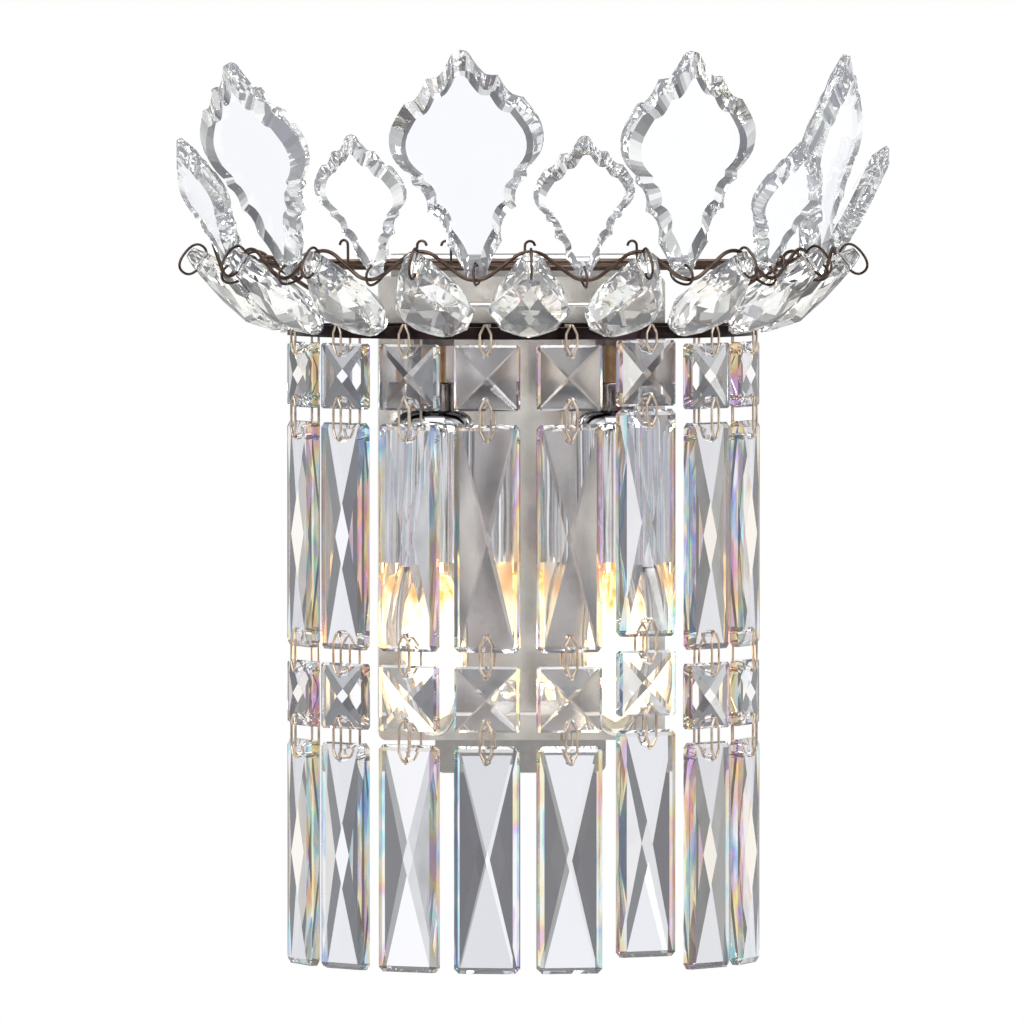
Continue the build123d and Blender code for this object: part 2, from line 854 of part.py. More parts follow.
# ---- bulb filaments: a wire loop down the middle of each glass ----
filament_side = [(across, 0, bulb_neck_top - depth) for across, depth in filament_run]
filament_mirror = [(-x, y, z) for x, y, z in filament_side]
filament = bent_wire(
    [*filament_mirror, *reversed(filament_side)], filament_bend, filament_wire, close=False
)
with BuildPart() as bulb_filaments:
    with Locations(*lamp_places):
        add(filament)
write(bulb_filaments, "bulb_filaments")

# ---- terminal block on the wall plate, inside the pan ----
block_front = plate_thickness + block_depth
ridge_front = block_front + block_ridge
with BuildPart() as terminal_block:
    with BuildSketch(Plane.XZ.offset(plate_thickness)):
        with Locations((0, block_centre)):
            Rectangle(block_width, block_height)
    extrude(amount=block_depth)
    with BuildSketch(Plane.XZ.offset(block_front)):
        with Locations((0, block_centre)):
            Rectangle(block_width, block_ridge_width)
    extrude(amount=block_ridge)
    with BuildSketch(Plane.XZ.offset(ridge_front)):
        with Locations((0, block_centre)):
            with GridLocations(block_screw_pitch, 1, block_screws, 1):
                Circle(block_screw_radius)
    extrude(amount=-block_screw_depth, mode=Mode.SUBTRACT)
write(terminal_block, "terminal_block")

# ---- strands ----
square_crystal = cut_plate(square_size, square_size, square_corner, square_inset, square_half)
bar_crystal = cut_plate(bar_width, bar_length, bar_corner, bar_inset, bar_half)


def hang_crystals(blank, plane, middles, hole_offsets):
    """Copies of a crystal at heights on a strand's plane, with their wire holes."""
    with BuildPart(plane) as hung:
        with Locations(*[(0, middle, 0) for middle in middles]):
            add(blank)
        for hole_offset in hole_offsets:
            with Locations(*[(0, middle + hole_offset, 0) for middle in middles]):
                Cylinder(crystal_hole_radius, drill_length, mode=Mode.SUBTRACT)
    return hung


for number, angle in enumerate(strand_angles, start=1):
    plane = station(angle, ring_radius)
    square_rise = short_square_rise if number == short_strand else 0.0
    lower_rise = short_lower_rise if number == short_strand else 0.0
    first_square = first_square_top + square_rise - square_size / 2
    upper_bar = (
        first_square_top + lower_rise - square_size - link_gap - bar_length / 2
    )
    second_square = upper_bar - bar_length / 2 - link_gap - square_size / 2
    lower_bar = second_square - square_size / 2 - link_gap - bar_length / 2
    square_hole_offset = square_size / 2 - square_hole
    bar_hole_offset = bar_length / 2 - bar_hole

    squares = hang_crystals(
        square_crystal,
        plane,
        [first_square, second_square],
        [square_hole_offset, -square_hole_offset],
    )
    write(squares, f"strand_{number}_squares")

    upper = hang_crystals(
        bar_crystal, plane, [upper_bar], [bar_hole_offset, -bar_hole_offset]
    )
    write(upper, f"strand_{number}_upper_bar")

    lower = hang_crystals(bar_crystal, plane, [lower_bar], [bar_hole_offset])
    write(lower, f"strand_{number}_lower_bar")

    clip_ends = [
        (hook_height, first_square + square_hole_offset),
        (first_square - square_hole_offset, upper_bar + bar_hole_offset),
        (upper_bar - bar_hole_offset, second_square + square_hole_offset),
        (second_square - square_hole_offset, lower_bar + bar_hole_offset),
    ]
    clip_shapes = [clip_part(upper_end - lower_end) for upper_end, lower_end in clip_ends]
    with BuildPart() as clips:
        for shape, (upper_end, lower_end) in zip(clip_shapes, clip_ends):
            middle = (upper_end + lower_end) / 2
            add(shape.moved(plane.location * Location((0, middle, 0))))
    write(clips, f"strand_{number}_clips")
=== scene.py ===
import math

import bpy
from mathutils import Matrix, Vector


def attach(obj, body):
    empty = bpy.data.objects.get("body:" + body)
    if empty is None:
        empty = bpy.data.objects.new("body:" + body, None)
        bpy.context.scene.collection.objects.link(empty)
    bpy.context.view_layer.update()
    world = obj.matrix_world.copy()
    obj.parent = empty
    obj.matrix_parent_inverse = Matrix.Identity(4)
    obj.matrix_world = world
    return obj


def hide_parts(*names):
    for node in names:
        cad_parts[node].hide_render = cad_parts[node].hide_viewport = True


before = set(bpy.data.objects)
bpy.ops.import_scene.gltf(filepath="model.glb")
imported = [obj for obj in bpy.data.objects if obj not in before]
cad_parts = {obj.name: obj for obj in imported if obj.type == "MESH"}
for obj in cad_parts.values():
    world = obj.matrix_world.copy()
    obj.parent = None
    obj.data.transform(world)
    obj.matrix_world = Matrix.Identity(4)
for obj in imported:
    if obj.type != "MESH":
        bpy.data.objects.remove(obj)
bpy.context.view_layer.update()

MM = 0.001

# ---- camera, worked out from the photograph ----
CIRCLE_Y = -20 * MM
CAMERA_AZIMUTH = -1.5
CAMERA_ELEVATION = 2.0
CAMERA_DISTANCE = 5.0
CAMERA_TARGET = Vector((-3.55 * MM, CIRCLE_Y, -0.5 * MM))
CAMERA_RANGE = 50.0
SENSOR_WIDTH = 36.0
FIELD_WIDTH = 346.3 * MM

# ---- places of the hung and standing crystals, as in the CAD ----
STRAND_ANGLES = [-70 + 20 * index for index in range(8)]
ALMOND_ANGLES = [-80 + 20 * index for index in range(9)]

LEAF_DROP = 2.8 * MM
LOW_LEAF_DROP = 3.3 * MM

# angle on the crown, drop below its wire, outward tilt, sideways lean
LEAVES = [
    (-70, LEAF_DROP, 26, 0),
    (-50, LEAF_DROP, 22, 0),
    (-30, LEAF_DROP, 21, 0),
    (-10, LOW_LEAF_DROP, 6, 3.5),
    (10, LOW_LEAF_DROP, 20, 3.5),
    (30, LOW_LEAF_DROP, 9, 2.5),
    (50, LEAF_DROP, 27, 6),
    (70, LEAF_DROP, 13, 9),
    (90, LEAF_DROP, 27, 20),
]

# ---- colours ----
CLEAR = (0.985, 0.985, 1.0)
LAVENDER = (0.93, 0.935, 0.985)
# the cool grey, the smoke grey and the warm colour below are painted shade and a painted warm
# reflection on crystal facets
PAINTED_GREY_SHADE = (0.70, 0.71, 0.75)
GREEN_GREY = (0.78, 0.81, 0.75)
PALE_GREEN = (0.90, 0.92, 0.87)
SOFT_GREEN = (0.93, 0.94, 0.90)
PAINTED_SMOKY_SHADE = (0.66, 0.68, 0.66)
PAINTED_WARM_REFLECTION = (0.96, 0.90, 0.80)
TABLE = (0.925, 0.93, 0.965)
TABLE_LIGHT = (0.96, 0.965, 0.985)
WHITE = (1.0, 1.0, 1.0)
BLACK = (0.0, 0.0, 0.0)
RIM_DARK = (0.05, 0.05, 0.06)
# painted glow of the crystals, which are no lamp
PAINTED_GLOW_COLOUR = (0.84, 0.85, 0.95)
BULB_WARMTH = (1.0, 0.52, 0.20)

# glass tints with painted shade and painted reflection over the ways that facets face, and a
# painted rainbow of split light on edge bevels
BAR_TINT_AND_PAINTED_REFLECTION = [(0.0, CLEAR), (0.35, LAVENDER), (0.6, PAINTED_GREY_SHADE), (0.8, PAINTED_WARM_REFLECTION), (1.0, CLEAR)]
LEAF_TINT_AND_PAINTED_REFLECTION = [
    (0.0, PALE_GREEN),
    (0.3, GREEN_GREY),
    (0.6, PALE_GREEN),
    (0.8, PAINTED_SMOKY_SHADE),
    (1.0, LAVENDER),
]
ALMOND_TINT_AND_PAINTED_REFLECTION = [(0.0, GREEN_GREY), (0.5, SOFT_GREEN), (0.8, PAINTED_WARM_REFLECTION), (1.0, PAINTED_GREY_SHADE)]
# painted rainbow of split light for the edge bevels of hung crystals
PAINTED_RAINBOW = [
    (0.00, WHITE),
    (0.36, (0.90, 0.95, 1.0)),
    (0.41, (0.25, 0.42, 1.0)),
    (0.445, (0.30, 0.95, 0.90)),
    (0.48, WHITE),
    (0.54, (1.0, 0.85, 0.30)),
    (0.575, (1.0, 0.42, 0.28)),
    (0.615, (0.72, 0.42, 0.95)),
    (0.66, WHITE),
]

# ---- crystal ----
CRYSTAL_IOR = 1.55
CRYSTAL_ROUGHNESS = (0.0, 0.03)
CLOUD_SCALE = 60.0
WAVE_SCALE = 75.0
WAVE_DEPTH = 0.6 * MM
BAND_SCALE = 26.0
BAND_STRETCH = (4.0, 4.0, 0.9)
FACET_SPREAD = (5.3, 3.1, 7.7)
BEVEL_FACING = 0.3
FLAT_FACING = 0.98

# ---- metal, glass and lit glass ----
NOISE_ROUGHNESS = 0.55
GRAIN_LOW = 0.3
GRAIN_HIGH = 0.7
DENT_FINENESS = 4
DENT_STRENGTH = 0.25
DENT_DEPTH = 0.05 * MM
MATT_DENT_DEPTH = 0.08 * MM
MATT_SPREAD = 0.15
BULB_IOR = 1.45
SPECK_SCALE = 300.0
SPECK_SPREAD = 0.05
GLOW_HEIGHT = 50 * MM
GLOW_SHIFT = 0.5
STREAK_SCALE = 260.0
STREAK_STRETCH = (1.0, 1.0, 0.5)
STREAK_STRENGTH = 0.9
CUP_RIM = (30.5 * MM, 32.5 * MM)


# ---- shader helpers: they take and return node sockets ----
def new_material(name):
    """An empty node material, its tree and its output node."""
    material = bpy.data.materials.new(name)
    material.use_nodes = True
    tree = material.node_tree
    tree.nodes.clear()
    return material, tree, tree.nodes.new("ShaderNodeOutputMaterial")


def principled_material(name):
    """A material of one Principled shader, its tree and the shader's inputs."""
    material, tree, output = new_material(name)
    shader = tree.nodes.new("ShaderNodeBsdfPrincipled")
    tree.links.new(shader.outputs["BSDF"], output.inputs["Surface"])
    return material, tree, shader.inputs


def feed(tree, value, socket):
    """A number written into a socket, or another socket linked to it."""
    if isinstance(value, (int, float)):
        socket.default_value = value
    else:
        tree.links.new(value, socket)


def math_node(tree, operation, *values):
    """A maths node on sockets and numbers."""
    made = tree.nodes.new("ShaderNodeMath")
    made.operation = operation
    for value, socket in zip(values, made.inputs):
        feed(tree, value, socket)
    return made.outputs["Value"]


def blend(tree, first, second, kind="MIX", factor=1.0):
    """Two colours blended by a factor."""
    made = tree.nodes.new("ShaderNodeMix")
    made.data_type = "RGBA"
    made.blend_type = kind
    feed(tree, factor, made.inputs[0])
    tree.links.new(first, made.inputs[6])
    tree.links.new(second, made.inputs[7])
    return made.outputs[2]


def ramp(tree, factor, stops):
    """A colour between (position, colour) stops."""
    made = tree.nodes.new("ShaderNodeValToRGB")
    elements = made.color_ramp.elements
    while len(elements) < len(stops):
        elements.new(0.5)
    for element, (position, colour) in zip(elements, stops):
        element.position = position
        element.color = (*colour, 1.0)
    tree.links.new(factor, made.inputs["Fac"])
    return made.outputs["Color"]


def map_range(tree, value, given, wanted):
    """A value moved from the given range to the wanted one."""
    made = tree.nodes.new("ShaderNodeMapRange")
    made.inputs["From Min"].default_value, made.inputs["From Max"].default_value = given
    made.inputs["To Min"].default_value, made.inputs["To Max"].default_value = wanted
    tree.links.new(value, made.inputs["Value"])
    return made.outputs["Result"]


def noise(tree, scale, detail=4.0, stretch=(1, 1, 1)):
    """Noise in the object's own space."""
    coordinates = tree.nodes.new("ShaderNodeTexCoord")
    mapping = tree.nodes.new("ShaderNodeMapping")
    mapping.inputs["Scale"].default_value = stretch
    tree.links.new(coordinates.outputs["Object"], mapping.inputs["Vector"])
    made = tree.nodes.new("ShaderNodeTexNoise")
    made.inputs["Scale"].default_value = scale
    made.inputs["Detail"].default_value = detail
    made.inputs["Roughness"].default_value = NOISE_ROUGHNESS
    tree.links.new(mapping.outputs["Vector"], made.inputs["Vector"])
    return made.outputs["Fac"]


def bump(tree, height, strength, distance):
    """A normal bent by a height."""
    made = tree.nodes.new("ShaderNodeBump")
    made.inputs["Strength"].default_value = strength
    made.inputs["Distance"].default_value = distance
    tree.links.new(height, made.inputs["Height"])
    return made.outputs["Normal"]


def height_of(tree):
    """Height in the object's own space."""
    coordinates = tree.nodes.new("ShaderNodeTexCoord")
    split = tree.nodes.new("ShaderNodeSeparateXYZ")
    tree.links.new(coordinates.outputs["Object"], split.inputs["Vector"])
    return split.outputs["Z"]


def along(tree, direction):
    """How far a facet's normal points along a direction."""
    geometry = tree.nodes.new("ShaderNodeNewGeometry")
    made = tree.nodes.new("ShaderNodeVectorMath")
    made.operation = "DOT_PRODUCT"
    made.inputs[1].default_value = direction
    tree.links.new(geometry.outputs["True Normal"], made.inputs[0])
    return made.outputs["Value"]


def facing(tree, direction, above):
    """One on facets that face along a direction, either way, and zero on the rest."""
    size = math_node(tree, "ABSOLUTE", along(tree, direction))
    return math_node(tree, "GREATER_THAN", size, above)


# ---- kinds of material ----
def crystal_material(name, tint_and_painted_reflection, waviness, painted_glow, across=None, flat=None):
    """Cut crystal: clear, with a faint glass tint and painted shade and painted reflection that
    change with the way each facet faces, and a faint painted glow.

    across is the sideways direction of a hung crystal, whose edge bevels get a painted rainbow of
    split light.
    flat is the way the flat middle of a leaf faces, which is clearer than its rim.
    """
    material, tree, inputs = principled_material(name)
    inputs["Transmission Weight"].default_value = 1.0
    inputs["IOR"].default_value = CRYSTAL_IOR
    # faint painted glow: the crystal gives light though it is no lamp
    inputs["Emission Color"].default_value = (*PAINTED_GLOW_COLOUR, 1.0)
    inputs["Emission Strength"].default_value = painted_glow
    # painted shade and painted reflection, picked by the way each facet faces, over the faint tint
    # of the glass
    wrapped = math_node(tree, "FRACT", along(tree, FACET_SPREAD))
    colour = ramp(tree, wrapped, tint_and_painted_reflection)
    waves = noise(tree, WAVE_SCALE, detail=1.0)
    height = waves
    if across is not None:
        # painted rainbow of split light on the edge bevels
        bands = noise(tree, BAND_SCALE, detail=3.0, stretch=BAND_STRETCH)
        painted_rainbow_mask = facing(tree, across, BEVEL_FACING)
        colour = blend(tree, colour, ramp(tree, bands, PAINTED_RAINBOW), "MULTIPLY", painted_rainbow_mask)
    if flat is not None:
        middle = facing(tree, flat, FLAT_FACING)
        clear = ramp(tree, waves, [(0.0, TABLE), (1.0, TABLE_LIGHT)])
        colour = blend(tree, colour, clear, factor=middle)
        # zero on the flat middle, which stays smooth
        rim = math_node(tree, "SUBTRACT", middle, 1.0)
        height = math_node(tree, "MULTIPLY", waves, rim)
    clouds = noise(tree, CLOUD_SCALE)
    roughness = map_range(tree, clouds, (0.0, 1.0), CRYSTAL_ROUGHNESS)
    tree.links.new(colour, inputs["Base Color"])
    tree.links.new(roughness, inputs["Roughness"])
    tree.links.new(bump(tree, height, waviness, WAVE_DEPTH), inputs["Normal"])
    return material


def metal(name, dark, light, roughness, scale=220.0, depth=DENT_DEPTH, metallic=1.0, rim=None):
    """Worn metal: colour and roughness that wander between two values, and fine dents.

    rim is the pair of heights between which the colour turns dark.
    """
    material, tree, inputs = principled_material(name)
    inputs["Metallic"].default_value = metallic
    grain = noise(tree, scale)
    colour = ramp(tree, grain, [(GRAIN_LOW, dark), (GRAIN_HIGH, light)])
    if rim is not None:
        rise = map_range(tree, height_of(tree), rim, (0.0, 1.0))
        shade = ramp(tree, rise, [(0.0, WHITE), (1.0, RIM_DARK)])
        colour = blend(tree, colour, shade, factor=rise)
    wear = map_range(tree, grain, (0.0, 1.0), roughness)
    dents = noise(tree, scale * DENT_FINENESS)
    tree.links.new(colour, inputs["Base Color"])
    tree.links.new(wear, inputs["Roughness"])
    tree.links.new(bump(tree, dents, DENT_STRENGTH, depth), inputs["Normal"])
    return material


def plain(name, colour, light, roughness, scale=200.0):
    """Matt material with a slight mottle."""
    spread = (roughness, roughness + MATT_SPREAD)
    return metal(name, colour, light, spread, scale, MATT_DENT_DEPTH, 0.0)


def clear_glass(name, colour, roughness):
    """Thin clear glass for the bulbs."""
    material, tree, inputs = principled_material(name)
    inputs["Transmission Weight"].default_value = 1.0
    inputs["IOR"].default_value = BULB_IOR
    inputs["Base Color"].default_value = (*colour, 1.0)
    specks = noise(tree, SPECK_SCALE)
    spread = map_range(tree, specks, (0.0, 1.0), (roughness, roughness + SPECK_SPREAD))
    tree.links.new(spread, inputs["Roughness"])
    return material


def glow(name, core, amber, copper, strength):
    """Lit glass: copper streaks at its top, amber below and near white lower down."""
    material, tree, output = new_material(name)
    drop = math_node(tree, "MULTIPLY", height_of(tree), -1 / GLOW_HEIGHT)
    streaks = noise(tree, STREAK_SCALE, stretch=STREAK_STRETCH)
    mottle = math_node(tree, "MULTIPLY", streaks, STREAK_STRENGTH)
    level = math_node(tree, "SUBTRACT", drop, mottle)
    shifted = math_node(tree, "ADD", level, GLOW_SHIFT)
    stops = [(0.30, copper), (0.50, amber), (0.72, core), (1.0, core)]
    emission = tree.nodes.new("ShaderNodeEmission")
    emission.inputs["Strength"].default_value = strength
    tree.links.new(ramp(tree, shifted, stops), emission.inputs["Color"])
    tree.links.new(emission.outputs["Emission"], output.inputs["Surface"])
    return material


# ---- directions and places on the circle about the sconce ----
def outward_at(angle):
    """The way out from the middle of the circle at an angle."""
    turn = math.radians(angle)
    return Vector((math.sin(turn), -math.cos(turn), 0))


def right_at(angle):
    """The way along the circle, to the right, at an angle."""
    turn = math.radians(angle)
    return Vector((math.cos(turn), math.sin(turn), 0))


def on_circle(angle, radius, height):
    """Point on the circle about the sconce."""
    return outward_at(angle) * radius + Vector((0, CIRCLE_Y, height))


def crystal_axes(angle, tilt, lean):
    """The ways a crystal on the crown points up its length and out of its face."""
    tilt, lean = math.radians(tilt), math.radians(lean)
    outward = outward_at(angle)
    rise = Vector((0, 0, 1))
    up = rise * math.cos(tilt) + outward * math.sin(tilt)
    out = outward * math.cos(tilt) - rise * math.sin(tilt)
    return up * math.cos(lean) - right_at(angle) * math.sin(lean), out


# ---- materials ----
STRAND_CRYSTALS = {
    number: crystal_material(
        f"strand_{number}_crystal", BAR_TINT_AND_PAINTED_REFLECTION, 0.10, 0.03, across=right_at(angle)
    )
    for number, angle in enumerate(STRAND_ANGLES, 1)
}
LEAF_CRYSTALS = {
    number: crystal_material(
        f"leaf_{number}_crystal", LEAF_TINT_AND_PAINTED_REFLECTION, 0.30, 0.06, flat=crystal_axes(angle, tilt, lean)[1]
    )
    for number, (angle, _, tilt, lean) in enumerate(LEAVES, 1)
}
ALMOND_CRYSTAL = crystal_material("almond_crystal", ALMOND_TINT_AND_PAINTED_REFLECTION, 0.30, 0.04)

CLIP_WIRE = metal("clip_wire", (0.34, 0.27, 0.22), (0.72, 0.60, 0.47), (0.22, 0.4))
DARK_WIRE = metal("dark_wire", (0.045, 0.030, 0.024), (0.13, 0.09, 0.07), (0.30, 0.5))
RING_METAL = metal("ring_metal", (0.012, 0.008, 0.010), (0.035, 0.022, 0.022), (0.25, 0.45))
PAN_NICKEL = metal("pan_nickel", (0.60, 0.57, 0.53), (0.78, 0.75, 0.71), (0.10, 0.24), 60.0)
PLATE_STEEL = metal("plate_steel", (0.46, 0.45, 0.43), (0.54, 0.53, 0.51), (0.24, 0.36), 340.0)
TUBE_BRASS = metal("tube_brass", (0.20, 0.11, 0.06), (0.42, 0.27, 0.15), (0.25, 0.4))
DARK_NICKEL = metal("dark_nickel", (0.07, 0.06, 0.06), (0.18, 0.16, 0.15), (0.10, 0.22))
CUP_CHROME = metal(
    "cup_chrome", (0.70, 0.71, 0.72), (0.86, 0.87, 0.88), (0.03, 0.10), 80.0, rim=CUP_RIM
)
SOCKET_BLACK = plain("socket_black", (0.02, 0.02, 0.02), (0.05, 0.05, 0.05), 0.5)
TERMINAL_WHITE = plain("terminal_white", (0.70, 0.69, 0.64), (0.82, 0.81, 0.76), 0.5)
FLOOR_PAINT = plain("floor_paint", (0.85, 0.85, 0.85), (0.9, 0.9, 0.9), 0.6, 4.0)
BULB_GLASS = clear_glass("bulb_glass", (1.0, 0.97, 0.90), 0.02)
BULB_GLOW = glow("bulb_glow", (1.0, 0.88, 0.66), (0.80, 0.40, 0.12), (0.26, 0.10, 0.03), 2.2)
FILAMENT_GLOW = glow("filament_glow", (1.0, 0.85, 0.55), (1.0, 0.70, 0.35), (1.0, 0.55, 0.20), 8.0)

NODE_MATERIALS = {
    "wall_plate": PLATE_STEEL,
    "back_pan": PAN_NICKEL,
    "pan_studs": PLATE_STEEL,
    "ball_nuts": PAN_NICKEL,
    "hanging_ring": RING_METAL,
    "ring_screws": RING_METAL,
    "crown_frame": DARK_WIRE,
    "crown_wave_wire": DARK_WIRE,
    "crystal_ties": DARK_WIRE,
    "lamp_bridge": RING_METAL,
    "lamp_nipples": TUBE_BRASS,
    "lamp_nuts": DARK_NICKEL,
    "lamp_cups": CUP_CHROME,
    "lamp_sockets": SOCKET_BLACK,
    "bulb_glasses": BULB_GLASS,
    "bulb_bases": TUBE_BRASS,
    "bulb_filaments": FILAMENT_GLOW,
    "terminal_block": TERMINAL_WHITE,
    "almonds": ALMOND_CRYSTAL,
}


def material_for(name):
    """The material of a CAD node, by its name."""
    if name.startswith("crown_leaf"):
        return LEAF_CRYSTALS[int(name.rsplit("_", 1)[1])]
    if name.endswith("_clips"):
        return CLIP_WIRE
    if name.startswith("strand_"):
        return STRAND_CRYSTALS[int(name.split("_")[1])]
    return NODE_MATERIALS[name]


for name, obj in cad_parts.items():
    chosen = material_for(name)
    for index in range(len(obj.data.materials)):
        obj.data.materials[index] = chosen


def placed(name, data):
    """A new object in the scene."""
    obj = bpy.data.objects.new(name, data)
    bpy.context.scene.collection.objects.link(obj)
    return obj


# ---- lit cores inside the bulbs ----
BULBS = [("left", -30.5 * MM), ("right", 30.5 * MM)]
BULB_Y = -56 * MM
CORE_SEGMENTS = 24

# radius and height in millimetres, from the top down
CORE_PROFILE = [
    (0.0, -19.0),
    (5.6, -21.0),
    (8.6, -28.0),
    (9.8, -37.0),
    (9.8, -48.0),
    (8.6, -58.0),
    (5.0, -67.0),
    (0.0, -70.0),
]


def lit_core(name, across):
    """Round glowing column inside a bulb's glass."""
    verts = []
    for radius, height in CORE_PROFILE:
        for step in range(CORE_SEGMENTS):
            turn = 2 * math.pi * step / CORE_SEGMENTS
            x = across + radius * MM * math.cos(turn)
            y = BULB_Y + radius * MM * math.sin(turn)
            verts.append((x, y, height * MM))
    faces = []
    for row in range(0, len(verts) - CORE_SEGMENTS, CORE_SEGMENTS):
        for step in range(CORE_SEGMENTS):
            a, b = row + step, row + (step + 1) % CORE_SEGMENTS
            faces.append((a, b, b + CORE_SEGMENTS, a + CORE_SEGMENTS))
    mesh = bpy.data.meshes.new(name)
    mesh.from_pydata(verts, [], faces)
    for polygon in mesh.polygons:
        polygon.use_smooth = True
    mesh.materials.append(BULB_GLOW)
    obj = placed(name, mesh)
    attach(obj, "sconce")


for side, across in BULBS:
    lit_core(f"bulb_core_{side}", across)


# ---- wires of the crown: loops that hold the crystals, loose curls and hooked ends ----
CROWN_RADIUS = 97.5 * MM
CROWN_HEIGHT = 83.8 * MM

# place of each loop along the crystal and out of its face: low, high, back, front
LEAF_RADIUS = 101.5 * MM
LEAF_LOOP = (-2.2 * MM, 4.5 * MM, 7.0 * MM, 6.8 * MM)
ALMOND_RADIUS = 81.1 * MM
ALMOND_HEIGHT = 61.5 * MM
ALMOND_TILT = 51.5
ALMOND_LOOP = (36.4 * MM, 43.3 * MM, 4.2 * MM, 6.8 * MM)
LOOP_WIRE = 0.45 * MM

# first angle, last angle and number of turns of each curl
CURLS = [(-76, -60, 2.5), (-57, -42, 2.0), (44, 57, 2.0), (60, 74, 2.5), (77, 88, 2.0)]
CURL_WIRE = 0.6 * MM
CURL_RADIUS = 4.6 * MM
CURL_END = 0.45
CURL_STEPS = 12

TAIL_ANGLES = [-38.0, -22.5, -15.5, -1.0, 21.5]
TAIL_FOOT = 84.9 * MM
TAIL_TOP = 91.0 * MM
HOOK_RADIUS = 1.7 * MM
HOOK_STEPS = 6


def add_wire(curve, points, closed):
    """One rounded wire along its points, a closed loop or an open run."""
    spline = curve.splines.new("NURBS")
    spline.points.add(len(points) - 1)
    for control, point in zip(spline.points, points):
        control.co = (*point, 1.0)
    spline.order_u = 3
    spline.use_cyclic_u = closed
    spline.use_endpoint_u = not closed


def wire_piece(name, loops, runs, wire):
    """Round wires, closed loops and open runs, as one piece of the dark wire."""
    curve = bpy.data.curves.new(name, "CURVE")
    curve.dimensions = "3D"
    curve.bevel_depth = wire
    curve.bevel_resolution = 3
    curve.use_fill_caps = True
    for points in loops:
        add_wire(curve, points, closed=True)
    for points in runs:
        add_wire(curve, points, closed=False)
    curve.materials.append(DARK_WIRE)
    obj = placed(name, curve)
    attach(obj, "sconce")
    return obj


def loop_at(foot, axes, low, high, back, front):
    """Corners of a loop through a crystal, which a spline rounds."""
    up, out = axes
    corners = [(high, -back), (high, front), (low, front), (low, -back)]
    return [foot + up * along_up + out * along_out for along_up, along_out in corners]


def leaf_loop(angle, drop, tilt, lean):
    """The wire loop of one leaf, round the crown's wires and through its hole."""
    foot = on_circle(angle, LEAF_RADIUS, CROWN_HEIGHT - drop)
    return loop_at(foot, crystal_axes(angle, tilt, lean), *LEAF_LOOP)


def almond_loop(angle):
    """The wire loop of one almond, through its hole and over its tip."""
    foot = on_circle(angle, ALMOND_RADIUS, ALMOND_HEIGHT)
    return loop_at(foot, crystal_axes(angle, ALMOND_TILT, 0), *ALMOND_LOOP)


def curl(first, last, turns):
    """A wire wound loosely round the crown's own wire between two angles."""
    steps = int(turns * CURL_STEPS)
    points = []
    for step in range(steps + 1):
        share = step / steps
        turn = 2 * math.pi * turns * share
        angle = first + (last - first) * share
        swell = CURL_RADIUS * (CURL_END + (1 - CURL_END) * math.sin(math.pi * share))
        radius = CROWN_RADIUS + swell * math.cos(turn)
        points.append(on_circle(angle, radius, CROWN_HEIGHT + swell * math.sin(turn)))
    return points


def tail(angle, side):
    """A wire end that stands on the crown and is bent over at its top."""
    top = on_circle(angle, CROWN_RADIUS, TAIL_TOP)
    points = [on_circle(angle, CROWN_RADIUS, TAIL_FOOT), top]
    for step in range(1, HOOK_STEPS + 1):
        turn = math.pi * step / HOOK_STEPS
        across = right_at(angle) * (side * HOOK_RADIUS * (1 - math.cos(turn)))
        points.append(top + across + Vector((0, 0, HOOK_RADIUS * math.sin(turn))))
    return points


crystal_loops = wire_piece(
    "crystal_loops",
    [leaf_loop(*leaf) for leaf in LEAVES] + [almond_loop(angle) for angle in ALMOND_ANGLES],
    [tail(angle, 1 if index % 2 else -1) for index, angle in enumerate(TAIL_ANGLES)],
    LOOP_WIRE,
)
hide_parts("crystal_ties")
wire_piece("crown_curls", [], [curl(*run) for run in CURLS], CURL_WIRE)


# ---- lights ----
# name, place, width and height, power
AREA_LIGHTS = [
    ("key_left", (-1.1, -1.4, 0.9), (0.8, 1.2), 26),
    ("key_right", (1.3, -1.2, 0.6), (0.7, 1.2), 16),
    ("top", (0, -0.4, 1.5), (1.0, 0.8), 18),
]
BULB_LIGHT_POWER = 0.05
BULB_LIGHT_RADIUS = 6 * MM
BULB_LIGHT_Y = -36 * MM
BULB_LIGHT_HEIGHT = -45 * MM


def toward(direction):
    """The turn that points a light or camera along a direction."""
    return direction.to_track_quat("-Z", "Y").to_euler()


for name, place, size, power in AREA_LIGHTS:
    light = bpy.data.lights.new(name, "AREA")
    light.shape = "RECTANGLE"
    light.size, light.size_y = size
    light.energy = power
    lamp = placed(name, light)
    lamp.location = place
    lamp.rotation_euler = toward(-Vector(place))

for side, across in BULBS:
    light = bpy.data.lights.new(f"bulb_light_{side}", "POINT")
    light.energy = BULB_LIGHT_POWER
    light.color = BULB_WARMTH
    light.shadow_soft_size = BULB_LIGHT_RADIUS
    placed(f"bulb_light_{side}", light).location = (across, BULB_LIGHT_Y, BULB_LIGHT_HEIGHT)


# ---- world ----
# shade by height, from straight below to straight above
SKY = [
    (0.00, 0.55),
    (0.30, 0.50),
    (0.44, 0.92),
    (0.52, 1.00),
    (0.56, 0.55),
    (0.64, 0.16),
    (0.76, 0.22),
    (0.84, 0.90),
    (1.00, 0.95),
]

# soft dark flags all round, which a veil lightens at the sides
FLAG_COUNT = 12
FLAGS = [(0.0, (0.10, 0.10, 0.11)), (0.35, (0.34, 0.35, 0.34)), (0.62, WHITE)]
VEIL = [(0.82, (0.62, 0.62, 0.63)), (0.95, BLACK)]


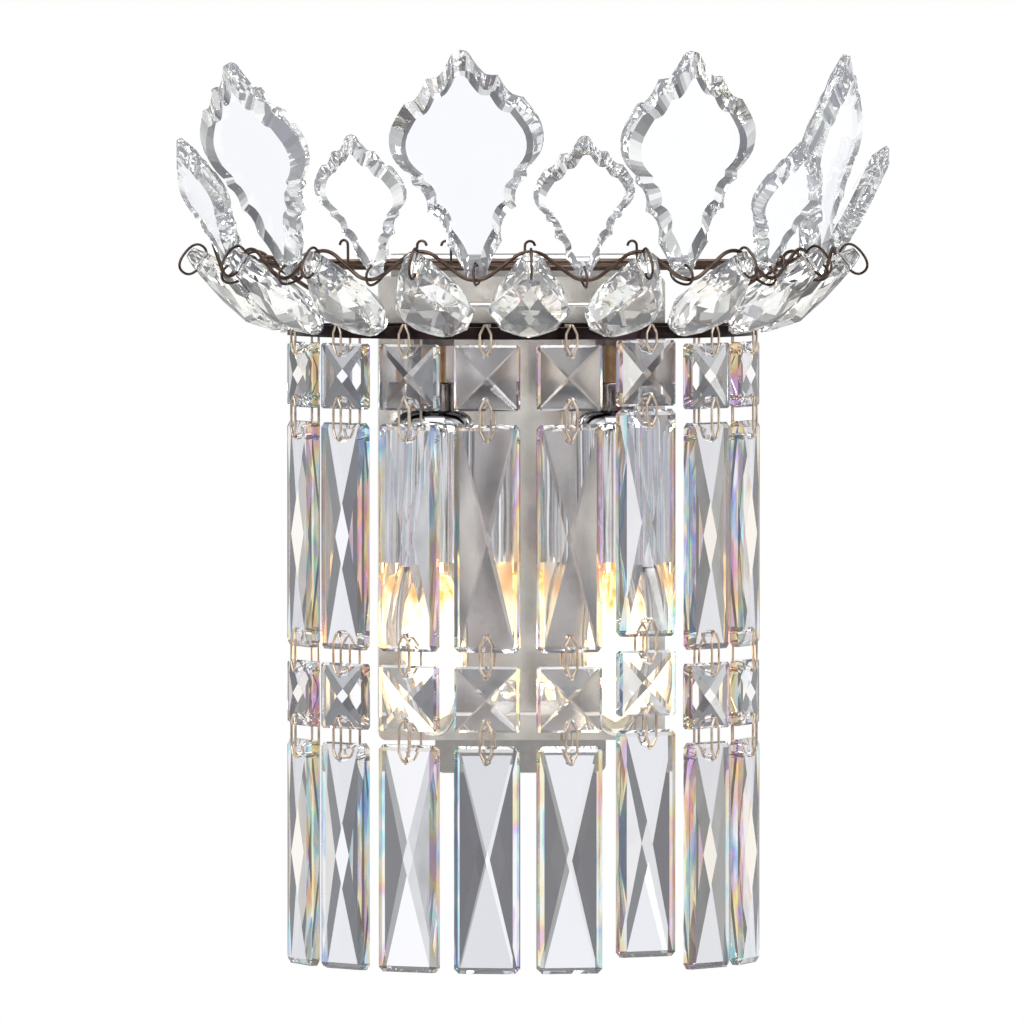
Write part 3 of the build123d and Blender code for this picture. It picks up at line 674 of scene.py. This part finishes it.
def build_world():
    """White for the camera, and a graded studio for the light, the gloss and the glass."""
    world = bpy.data.worlds.new("studio")
    bpy.context.scene.world = world
    world.use_nodes = True
    tree = world.node_tree
    tree.nodes.clear()
    output = tree.nodes.new("ShaderNodeOutputWorld")
    coordinates = tree.nodes.new("ShaderNodeTexCoord")
    split = tree.nodes.new("ShaderNodeSeparateXYZ")
    tree.links.new(coordinates.outputs["Generated"], split.inputs["Vector"])
    x, y, z = split.outputs
    level = math_node(tree, "ADD", math_node(tree, "MULTIPLY", z, 0.5), 0.5)
    sky = ramp(tree, level, [(place, (shade,) * 3) for place, shade in SKY])
    around = math_node(tree, "ARCTAN2", x, y)
    wave = math_node(tree, "COSINE", math_node(tree, "MULTIPLY", around, FLAG_COUNT))
    flags = ramp(tree, map_range(tree, wave, (-1.0, 1.0), (0.0, 1.0)), FLAGS)
    veil = ramp(tree, math_node(tree, "ABSOLUTE", y), VEIL)
    softened = blend(tree, flags, veil, "LIGHTEN")
    studio = tree.nodes.new("ShaderNodeBackground")
    tree.links.new(blend(tree, sky, softened, "MULTIPLY"), studio.inputs["Color"])
    white = tree.nodes.new("ShaderNodeBackground")
    white.inputs["Color"].default_value = (*WHITE, 1.0)
    path = tree.nodes.new("ShaderNodeLightPath")
    mix = tree.nodes.new("ShaderNodeMixShader")
    tree.links.new(path.outputs["Is Camera Ray"], mix.inputs["Fac"])
    tree.links.new(studio.outputs["Background"], mix.inputs[1])
    tree.links.new(white.outputs["Background"], mix.inputs[2])
    tree.links.new(mix.outputs["Shader"], output.inputs["Surface"])


build_world()

# ---- floor ----
FLOOR_HALF = 1.5
FLOOR_HEIGHT = -0.7
FLOOR_CORNERS = [(-1, -1), (1, -1), (1, 1), (-1, 1)]

floor_mesh = bpy.data.meshes.new("floor")
floor_mesh.from_pydata(
    [(x * FLOOR_HALF, y * FLOOR_HALF, FLOOR_HEIGHT) for x, y in FLOOR_CORNERS],
    [],
    [(0, 1, 2, 3)],
)
floor_mesh.materials.append(FLOOR_PAINT)
floor = placed("floor", floor_mesh)

# ---- camera ----
elevation = math.radians(CAMERA_ELEVATION)
back = outward_at(CAMERA_AZIMUTH) * math.cos(elevation)
back.z = math.sin(elevation)
camera_data = bpy.data.cameras.new("camera")
camera_data.sensor_width = SENSOR_WIDTH
camera_data.lens = SENSOR_WIDTH * CAMERA_DISTANCE / FIELD_WIDTH
camera_data.clip_end = CAMERA_RANGE
camera = placed("camera", camera_data)
camera.location = CAMERA_TARGET + back * CAMERA_DISTANCE
camera.rotation_euler = toward(-back)
bpy.context.scene.camera = camera
bpy.context.scene.view_settings.view_transform = "Standard"

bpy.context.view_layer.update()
